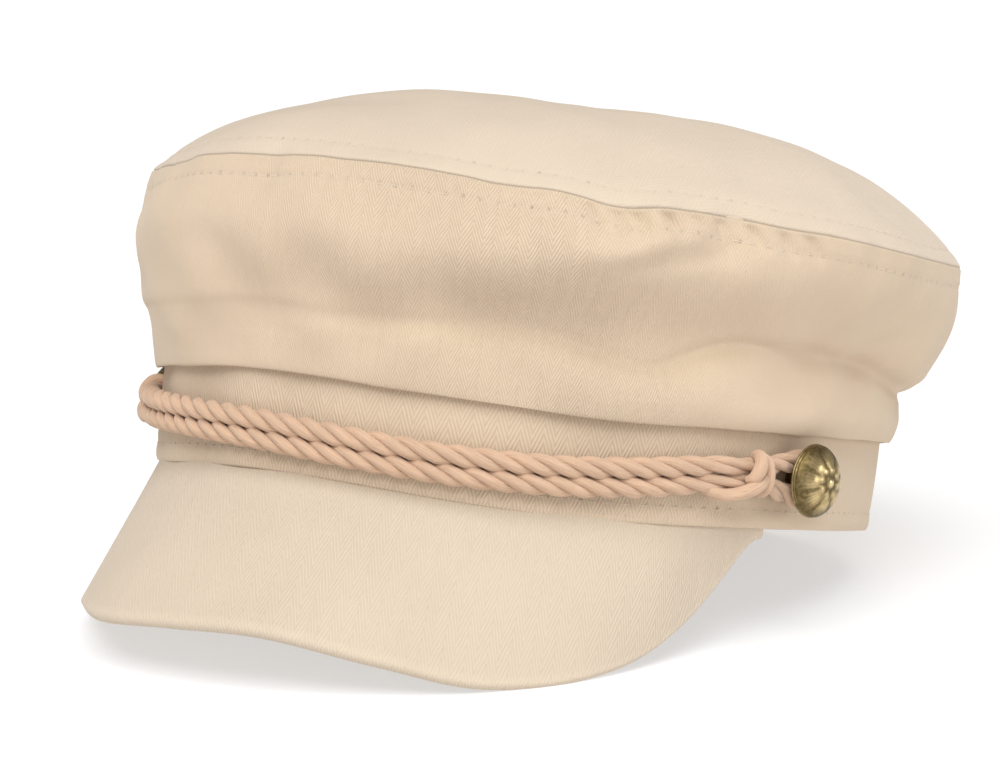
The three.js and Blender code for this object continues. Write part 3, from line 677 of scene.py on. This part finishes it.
# the peak's cotton is paler and greyer than the side's, though the same cloth: painted light where it faces up
PEAK_CREAM_PAINTED_LIGHT, PEAK_GROOVE_PAINTED_LIGHT = (0.608, 0.515, 0.405), (0.508, 0.41, 0.307)
across = np.linspace(-1, 1, PEAK_COLUMNS)
place = (across + 1) / 2 * (len(PEAK_WIDTH) - 1)
slope = np.radians(smooth_steps(PEAK_SLOPE, place))
width = PEAK_END + (PEAK_REACH - PEAK_END) * np.maximum(smooth_steps(PEAK_WIDTH, place), 0)
tucked_in = PEAK_TUCK * np.clip((np.degrees(slope) - 58) / 25, 0, 1)
root = from_band(across * PEAK_HALF_ANGLE, -PEAK_INSET - 0.6 * tucked_in, -GAP)
fall = np.stack([0 * slope, -np.cos(slope), -np.sin(slope)], -1)
down = np.linspace(0, 1, PEAK_ROWS)[:, None]
peak_top = root + fall * (down * (width + PEAK_TUCK) - PEAK_TUCK)[..., None]
peak_normal = unit(np.cross(np.gradient(peak_top, axis=0), np.gradient(peak_top, axis=1)))
half = PEAK_THICKNESS / 2
turn = np.radians(np.linspace(90, -90, 11))[1:-1, None, None]
edge_out = unit(fall - (fall * peak_normal[-1]).sum(-1, keepdims=True) * peak_normal[-1])
rim = peak_top[-1] - peak_normal[-1] * half - edge_out * half
rim = rim + edge_out * half * np.cos(turn) + peak_normal[-1] * half * np.sin(turn)
trim = np.minimum(1, (width - half) / width)
peak_top = root + fall * (down * (width * trim + PEAK_TUCK) - PEAK_TUCK)[..., None]
peak_under = (peak_top - peak_normal * PEAK_THICKNESS)[::-1]
peak_under[-1] = from_band(across * PEAK_HALF_ANGLE, -BAND_WALL, -GAP)
peak_grid = np.concatenate([peak_top, rim, peak_under])
peak_down = lengths(peak_grid, 0)
apart = np.diff(peak_grid, axis=1)
apart = np.linalg.norm(apart - (apart * fall[1:]).sum(-1, keepdims=True) * fall[1:], axis=-1)
peak_across = np.concatenate([[0], np.cumsum(apart[PEAK_ROWS // 2])])
peak_across -= peak_across[PEAK_COLUMNS // 2]
fallen = peak_down + (root * fall).sum(-1)
peak_maps = {
    "weave": points_of(peak_across + PEAK_GRAIN * fallen, fallen - PEAK_GRAIN * peak_across),
    "edge": points_of(peak_across, np.abs(peak_down - width)),
}
peak_maps = {label: where[:, ::-1] for label, where in peak_maps.items()}
peak_cloth = cloth("peak_herringbone", PEAK_CREAM_PAINTED_LIGHT, PEAK_GROOVE_PAINTED_LIGHT, 0.45, slope=3.2, pitch=0.0008, column=0.0027)
peak = grid_piece("peak_cloth", peak_grid[:, ::-1], peak_maps, peak_cloth)
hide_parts("peak")

# Cord
# A soft laid cord of three cotton plies. It goes once round: over one button's shank, across the front of
# the band, round the other button's shank and back, so that two runs lie one over the other.
CORD_WIDTH, CORD_GAP, CORD_PITCH, CORD_STEPS = 0.0046, 0.0003, 0.0202, 1100
CORD_COLOUR = (0.6, 0.402, 0.273)
CORD_SQUEEZE, CORD_SLACK_LAY = 0.16, 0.55  # how far a knot squeezes the cord, and how far it opens its lay
PLY_RADIUS, PLY_OFFSET, PLY_SIDES = 0.00128, 0.00134, 14
RUN_SINK, RUN_RISE, RUN_OVER = 0.00025, 0.0005, 0.0005  # how the upper run sags on to the lower one
KNOT_PULLS = [(72, 0.01275), (-58, 0.01485)]  # the angle and height at which each knot draws the runs together
CORD_ROUTE = np.array(
    [  # angle from the front in degrees, height as a share of BAND_HEIGHT and clearance as one of CORD_WIDTH
        [87.2, 0.51, 0.087], [86.2, 0.646, 0.087], [83.6, 0.695, 0.13], [80, 0.667, 0.239], [75, 0.634, 0.457],
        [72, 0.63, 0.457], [69, 0.626, 0.457], [64, 0.593, 0.283], [57, 0.539, 0.087], [45, 0.477, 0.065],
        [30, 0.436, 0.065], [15, 0.432, 0.065], [0, 0.473, 0.065], [-15, 0.527, 0.065], [-30, 0.601, 0.065],
        [-44, 0.667, 0.087], [-49.5, 0.695, 0.239], [-55, 0.712, 0.457], [-58, 0.716, 0.457],
        [-61, 0.72, 0.457], [-65, 0.774, 0.239], [-68.6, 0.815, 0.13], [-71.2, 0.765, 0.087],
        [-72.2, 0.63, 0.087], [-71.2, 0.494, 0.087], [-68.6, 0.444, 0.13], [-65, 0.477, 0.239],
        [-61, 0.502, 0.457], [-58, 0.506, 0.457], [-55, 0.506, 0.457], [-49.5, 0.49, 0.239],
        [-44, 0.457, 0.087], [-30, 0.391, 0.065], [-15, 0.317, 0.065], [0, 0.263, 0.065], [15, 0.222, 0.065],
        [30, 0.226, 0.065], [45, 0.267, 0.065], [57, 0.329, 0.087], [64, 0.383, 0.283], [69, 0.42, 0.457],
        [72, 0.42, 0.457], [75, 0.416, 0.457], [80, 0.37, 0.239], [83.6, 0.325, 0.13], [86.2, 0.374, 0.087],
    ]
)
UPPER_POINTS = 24  # the first so many are the upper run


def closed_curve(points, count):
    """Evenly spaced points on a smooth closed curve through the given ones, and its length."""
    size = len(points)
    found = []
    for i in range(size):
        p = [points[(i + k) % size] for k in (-1, 0, 1, 2)]
        gaps = [max(np.linalg.norm(p[k + 1] - p[k]) ** 0.5, 1e-9) for k in range(3)]
        t = np.linspace(0, 1, 40, endpoint=False)[:, None]
        before, here, after = p[1] - p[0], p[2] - p[1], p[3] - p[2]
        start = (before / gaps[0] - (p[2] - p[0]) / (gaps[0] + gaps[1]) + here / gaps[1]) * gaps[1]
        end = (here / gaps[1] - (p[3] - p[1]) / (gaps[1] + gaps[2]) + after / gaps[2]) * gaps[1]
        cube, square = 2 * p[1] - 2 * p[2] + start + end, 3 * p[2] - 3 * p[1] - 2 * start - end
        found.append(cube * t**3 + square * t**2 + start * t + p[1])
    dense = np.concatenate(found + [found[0][:1]])
    gone = lengths(dense, 0)
    where = np.linspace(0, gone[-1], count, endpoint=False)
    return np.stack([np.interp(where, gone, dense[:, k]) for k in range(3)], -1), gone[-1]


def tubes(name, lines, radii, sides, closed):
    """Tubes of cord along lines of points, joined in one mesh, with length and turn as their weave map."""
    verts, faces, places = [], [], []
    turn = 2 * np.pi * np.arange(sides) / sides
    for line, radius in zip(lines, radii):
        ahead = unit(np.roll(line, -1, 0) - np.roll(line, 1, 0) if closed else np.gradient(line, axis=0))
        side = np.empty_like(line)
        side[0] = unit(np.cross(ahead[0], (0.31, 0.2, 0.93)))
        for i in range(1, len(line)):
            side[i] = unit(side[i - 1] - ahead[i] * (side[i - 1] @ ahead[i]))
        ring = side[:, None] * np.cos(turn)[:, None] + np.cross(ahead, side)[:, None] * np.sin(turn)[:, None]
        quads, corners = grid_faces(len(line), sides, closed, True)
        faces.append(quads + sum(len(v) for v in verts))
        verts.append((line[:, None] + ring * np.reshape(radius, (-1, 1, 1))).reshape(-1, 3))
        gone = lengths(np.concatenate([line, line[:1]]), 0)
        across = 2 * np.pi / sides * np.mean(radius)
        places.append(np.stack([np.stack([gone[a], b * across], -1) for a, b in corners], 1))
    maps = {"weave": np.concatenate(places)}
    return smooth_piece(name, np.concatenate(verts), np.concatenate(faces), maps, CORD_COTTON)


def cord_cotton():
    """Soft peach cotton: fine yarns that run along each ply, a little darker in between, with a fuzzy face."""
    made, tree, shader = material(
        "cord_cotton", CORD_COLOUR, 0.88, Sheen_Weight=0.35, Sheen_Roughness=0.5, Specular_IOR_Level=0.18
    )
    shader.inputs["Sheen Tint"].default_value = (1, 0.9, 0.8, 1)
    weave = map_place(tree, "weave")
    lean = node(tree, "Mapping", Vector=weave, Rotation=(0, 0, math.radians(14)), Scale=(220, 3400, 1))
    yarns = noise(tree, lean.outputs[0], 1.0, 3.0, 0.6)
    patchy = remap(tree, noise(tree, weave, 90.0, 2.0), (0.3, 0.7), (0.95, 1.04))
    both = maths(tree, "MULTIPLY", remap(tree, yarns, (0.3, 0.7), (0.8, 1.1)), patchy)
    tree.links.new(shaded(tree, CORD_COLOUR, both), shader.inputs["Base Color"])
    bumps(tree, shader, yarns, 0.7, 0.0004)
    return made


CORD_COTTON = cord_cotton()
route_turn = CORD_ROUTE[:, 0]
cord_up, cord_clear = CORD_ROUTE[:, 1] * BAND_HEIGHT, CORD_ROUTE[:, 2] * CORD_WIDTH
upper = np.arange(len(CORD_ROUTE)) < UPPER_POINTS
in_front = step_down(np.abs(route_turn - 6) - 62, 4)
cord_up = cord_up + in_front * np.where(upper, -RUN_SINK, RUN_RISE)
cord_clear = cord_clear + in_front * np.where(upper, RUN_OVER, 0)
for at, up in KNOT_PULLS:
    cord_up = cord_up + (up - cord_up) * 0.2 * bell(route_turn - at, 8)
cord_out = BAND_FLARE * cord_up / BAND_HEIGHT + cord_clear + CORD_WIDTH / 2
cord_line, cord_length = closed_curve(from_band(np.radians(route_turn), cord_out, cord_up), CORD_STEPS)
cord_turn = np.arctan2(cord_line[:, 0] / HALF_WIDTH, -cord_line[:, 1] / HALF_LENGTH)
ahead = unit(np.roll(cord_line, -1, 0) - np.roll(cord_line, 1, 0))
cord_side = unit(np.cross(outward(cord_turn), ahead))
cord_out_way = np.cross(ahead, cord_side)
near_knot = np.minimum(sum(bell(np.degrees(cord_turn) - at, 7) for at, up in KNOT_PULLS), 1)
rate, squeeze = 1 - CORD_SLACK_LAY * near_knot, 1 - CORD_SQUEEZE * near_knot
twists = round(cord_length / CORD_PITCH)
lay = 2 * np.pi * twists * (np.cumsum(rate) - rate[0]) / rate.sum()
plies = []
for start in (0, 2 * np.pi / 3, 4 * np.pi / 3):
    round_core = cord_side * np.cos(lay + start)[:, None] + cord_out_way * np.sin(lay + start)[:, None]
    plies.append(cord_line + PLY_OFFSET * squeeze[:, None] * round_core)
cord = tubes("cord_plies", plies, [PLY_RADIUS * squeeze] * 3, PLY_SIDES, closed=True)
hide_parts("cord")

# Cord knots
# Beside each button the cord's own end is wrapped round both runs and tucked under itself. Its plies are
# pulled tight and flat there, so it looks smoother than the rest.
KNOT_WALL, KNOT_SIZE, KNOT_SIDES = 0.0014, 0.86, 16
KNOT_CURVE = 0.0925  # the radius of the band that its turns bend round
KNOT_TURNS = np.array(
    [  # along the cord towards its button, out from the band, up, and radius, in mm from the knot's middle
        [-13.6, -1.8, -1.0, 0.8], [-12.4, -0.8, -3.4, 1.2], [-10.2, 0.6, -4.9, 1.55], [-7.4, 1.6, -5.6, 1.75],
        [-4.8, 2.6, -5.4, 1.8], [-2.2, 3.7, -4.6, 1.85], [0.4, 4.4, -3.4, 1.9], [2.8, 4.2, -1.9, 1.85],
        [4.6, 2.6, -0.6, 1.6], [5.4, 0.4, 0.8, 1.2], [5.0, -1.8, 2.4, 0.95], [4.0, -1.6, 4.2, 1.2],
        [3.4, 0.4, 5.3, 1.7], [2.9, 2.6, 5.0, 1.85], [2.1, 4.2, 3.2, 1.9], [1.2, 4.7, 1.2, 1.9],
        [0.4, 4.0, -0.6, 1.7], [-0.2, 2.2, -1.4, 1.2],
    ]
)
KNOT_INNER_TURN = np.array(
    [
        [5.0, -1.6, 4.0, 0.9], [5.4, 0.6, 4.8, 1.5], [5.9, 2.4, 3.2, 1.7], [6.2, 3.0, 0.4, 1.75],
        [6.3, 2.8, -2.4, 1.7], [6.0, 1.2, -4.4, 1.5], [5.4, -1.0, -4.2, 0.9],
    ]
)
FITTINGS = [  # button's angle in degrees and height as a share of BAND_HEIGHT, the knot's, the cord's way
    ("left", 84, 0.51, 72, 0.525, 1),
    ("right", -69, 0.63, -58, 0.611, -1),
]


def open_curve(points, count):
    where = np.linspace(0, len(points) - 1, count)
    at = np.minimum(np.floor(where).astype(int), len(points) - 2)
    near = [points[np.clip(at + k, 0, len(points) - 1)] for k in (-1, 0, 1, 2)]
    return smooth_between(*near, (where - at)[:, None])


for side, _, _, knot_angle, knot_up, way in FITTINGS:
    knot_lines, knot_radii = [], []
    for turns in (open_curve(KNOT_TURNS, 150) / 1000, open_curve(KNOT_INNER_TURN, 60) / 1000):
        turns = turns * KNOT_SIZE
        across_band = math.radians(knot_angle) + way * turns[:, 0] / KNOT_CURVE
        rise = knot_up * BAND_HEIGHT + turns[:, 2]
        stand = BAND_FLARE * rise / BAND_HEIGHT + KNOT_WALL + 2 * CORD_GAP + CORD_WIDTH / 2 + turns[:, 1]
        knot_lines.append(from_band(across_band, stand, rise))
        knot_radii.append(turns[:, 3])
    knot = tubes("cord_knot_" + side + "_wrap", knot_lines, knot_radii, KNOT_SIDES, closed=False)
    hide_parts("cord_knot_" + side)

# Buttons
# Domed shank buttons of stamped brass, browned with age and rubbed bright on the high parts. A plain
# rosette of petals is pressed into the dome, and the shank goes through the band.
BUTTON_WIDTH, BUTTON_RIM, BUTTON_DOME, BUTTON_LIP = 0.0175, 0.0013, 0.004, 0.0007
BUTTON_RELIEF, BUTTON_RINGS, BUTTON_SIDES, PETALS = 0.0005, 46, 96, 8
SHANK_WIDTH = 0.0036


def antique_brass():
    """Old brass: bright on what stands out, brown in what lies deep, with a fine uneven skin."""
    made, tree, shader = material("antique_brass", (0.3, 0.23, 0.1), 0.42, Metallic=1.0)
    high = node(tree, "SeparateXYZ", i0=map_place(tree, "relief")).outputs[1]
    skin = noise(tree, node(tree, "TexCoord").outputs["Object"], 900.0, 5.0, 0.65)
    worn = maths(tree, "ADD", high, maths(tree, "MULTIPLY", maths(tree, "SUBTRACT", skin, 0.5), 0.5))
    ramp = node(tree, "ValToRGB", Fac=worn)
    brown, bright = ramp.color_ramp.elements
    brown.position, bright.position = 0.16, 0.8
    brown.color, bright.color = (0.125, 0.09, 0.036, 1), (0.76, 0.58, 0.3, 1)
    tree.links.new(ramp.outputs[0], shader.inputs["Base Color"])
    tree.links.new(remap(tree, worn, (0.1, 0.8), (0.5, 0.22)), shader.inputs["Roughness"])
    bumps(tree, shader, skin, 0.25, 0.0001)
    return made


BRASS = antique_brass()


def button_mesh():
    """The button with its face to +Z and its shank's foot at the origin: points, and how bright they are."""
    back = CORD_WIDTH + KNOT_WALL + 2 * CORD_GAP
    edge, shank, curl = BUTTON_WIDTH / 2, SHANK_WIDTH / 2, BUTTON_LIP / 2
    turn = 2 * np.pi * np.arange(BUTTON_SIDES) / BUTTON_SIDES
    r = np.linspace(0.975, 0, BUTTON_RINGS)[:, None]
    dome = back + BUTTON_LIP + (BUTTON_RIM + BUTTON_DOME - BUTTON_LIP) * (1 - r**2) ** 0.62
    petals = np.abs(np.cos(PETALS / 2 * turn)) ** 0.6
    inner = np.abs(np.cos(PETALS / 2 * turn + np.pi / 4))
    relief = 0.62 * petals * bell(r - 0.62, 0.2) + 0.5 * inner * bell(r - 0.36, 0.1)
    relief = relief + 0.9 * np.exp(-((r / 0.13) ** 4)) + 0.12 * np.cos(6 * PETALS * turn) * bell(r - 0.66, 0.16)
    face = points_of(edge * r * np.cos(turn), edge * r * np.sin(turn), dome + BUTTON_RELIEF * relief)
    side = [(0, 0), (shank, 0), (shank, back - 0.0003), (shank + 0.0008, back), (edge - 0.0008, back)]
    for lift in np.radians(np.linspace(-90, 110, 12)):
        side.append((edge - curl + curl * math.cos(lift), back + curl * (1 + math.sin(lift))))
    out, up = np.array(side).T[..., None]
    body = points_of(out * np.cos(turn), out * np.sin(turn), up)
    bright = np.concatenate([np.full(body.shape[:2], 0.35), 0.15 + 0.75 * relief])
    bright[len(body) - 6 : len(body)] = 0.3
    return np.concatenate([body, face]), bright


button_points, bright = button_mesh()
bright = np.concatenate([bright, bright[:, :1]], 1)
button_maps = {"relief": points_of(np.linspace(0, 1, BUTTON_SIDES + 1), bright)}
for side, button_angle, button_up, *_ in FITTINGS:
    angle = np.array(math.radians(button_angle))
    out = outward(angle)
    foot = from_band(angle, BAND_FLARE * button_up + CORD_GAP, button_up * BAND_HEIGHT)
    points = foot + button_points @ np.array([np.cross((0, 0, 1), out), (0, 0, 1), out])
    button = grid_piece("button_" + side + "_brass", points, button_maps, BRASS, closed_columns=True)
    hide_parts("button_" + side)

# Studio
# The cap stands on a plain pale floor in even light from all round, with a large soft light high up in front
# of it. The camera looks at it from the front left, a little above the floor.
LOOKED_AT = Vector((0, 0.00816, 0.06156))
CAMERA_PLACE = (36, 7.9, 0.775)  # turn and rise in degrees, and distance
CAMERA_LENS, CAMERA_SHIFT = 108.81, (-0.0354, -0.0514)
FLOOR_SIZE = 40.0


def pale_floor():
    corners = [(x * FLOOR_SIZE, y * FLOOR_SIZE, 0) for x, y in ((-1, -1), (1, -1), (1, 1), (-1, 1))]
    mesh = bpy.data.meshes.new("floor")
    mesh.from_pydata(corners, [], [(0, 1, 2, 3)])
    floor = bpy.data.objects.new("floor", mesh)
    bpy.context.scene.collection.objects.link(floor)
    finish = material(
        "pale_floor", (0.44, 0.44, 0.445), 0.95, Emission_Color=(1, 1, 1, 1), Emission_Strength=0.55
    )
    mesh.materials.append(finish[0])


def aim(thing, turn, rise, away):
    """Points a light or a camera at the cap, from a turn and a rise in degrees and a distance."""
    turn, rise = math.radians(turn), math.radians(rise)
    way = Vector((math.sin(turn) * math.cos(rise), -math.cos(turn) * math.cos(rise), math.sin(rise)))
    thing.location = LOOKED_AT + way * away
    thing.rotation_euler = way.to_track_quat("Z", "Y").to_euler()
    bpy.context.scene.collection.objects.link(thing)


def soft_light(name, kind, place, strength, size, colour):
    """A light, as wide as its size in degrees for a sun and in metres for an area."""
    data = bpy.data.lights.new(name, kind)
    data.energy, data.color = strength, colour
    if kind == "SUN":
        data.angle = math.radians(size)
    else:
        data.shape, data.size = "DISK", size
    aim(bpy.data.objects.new(name, data), *place)


pale_floor()
soft_light("soft_key", "SUN", (28, 57, 2), 2.75, 50, (0.975, 0.988, 1))
soft_light("soft_fill", "AREA", (112, 3, 1.2), 3.4, 0.6, (0.95, 0.98, 1))
soft_light("soft_front", "AREA", (38, 8, 1.6), 2.2, 0.9, (0.98, 0.99, 1))
soft_light("soft_glint", "AREA", (20, 35, 1.5), 2.4, 0.5, (1, 1, 1))
world = bpy.data.worlds.new("studio")
world.use_nodes = True
world.node_tree.nodes["Background"].inputs[0].default_value = (1, 0.975, 0.945, 1)
world.node_tree.nodes["Background"].inputs[1].default_value = 0.38
bpy.context.scene.world = world
bpy.context.scene.view_settings.view_transform = "Standard"
camera = bpy.data.objects.new("camera", bpy.data.cameras.new("camera"))
aim(camera, *CAMERA_PLACE)
camera.data.sensor_fit, camera.data.sensor_width, camera.data.lens = "HORIZONTAL", 36, CAMERA_LENS
camera.data.shift_x, camera.data.shift_y = CAMERA_SHIFT
camera.data.clip_start, camera.data.clip_end = 0.05, 20
bpy.context.scene.camera = camera
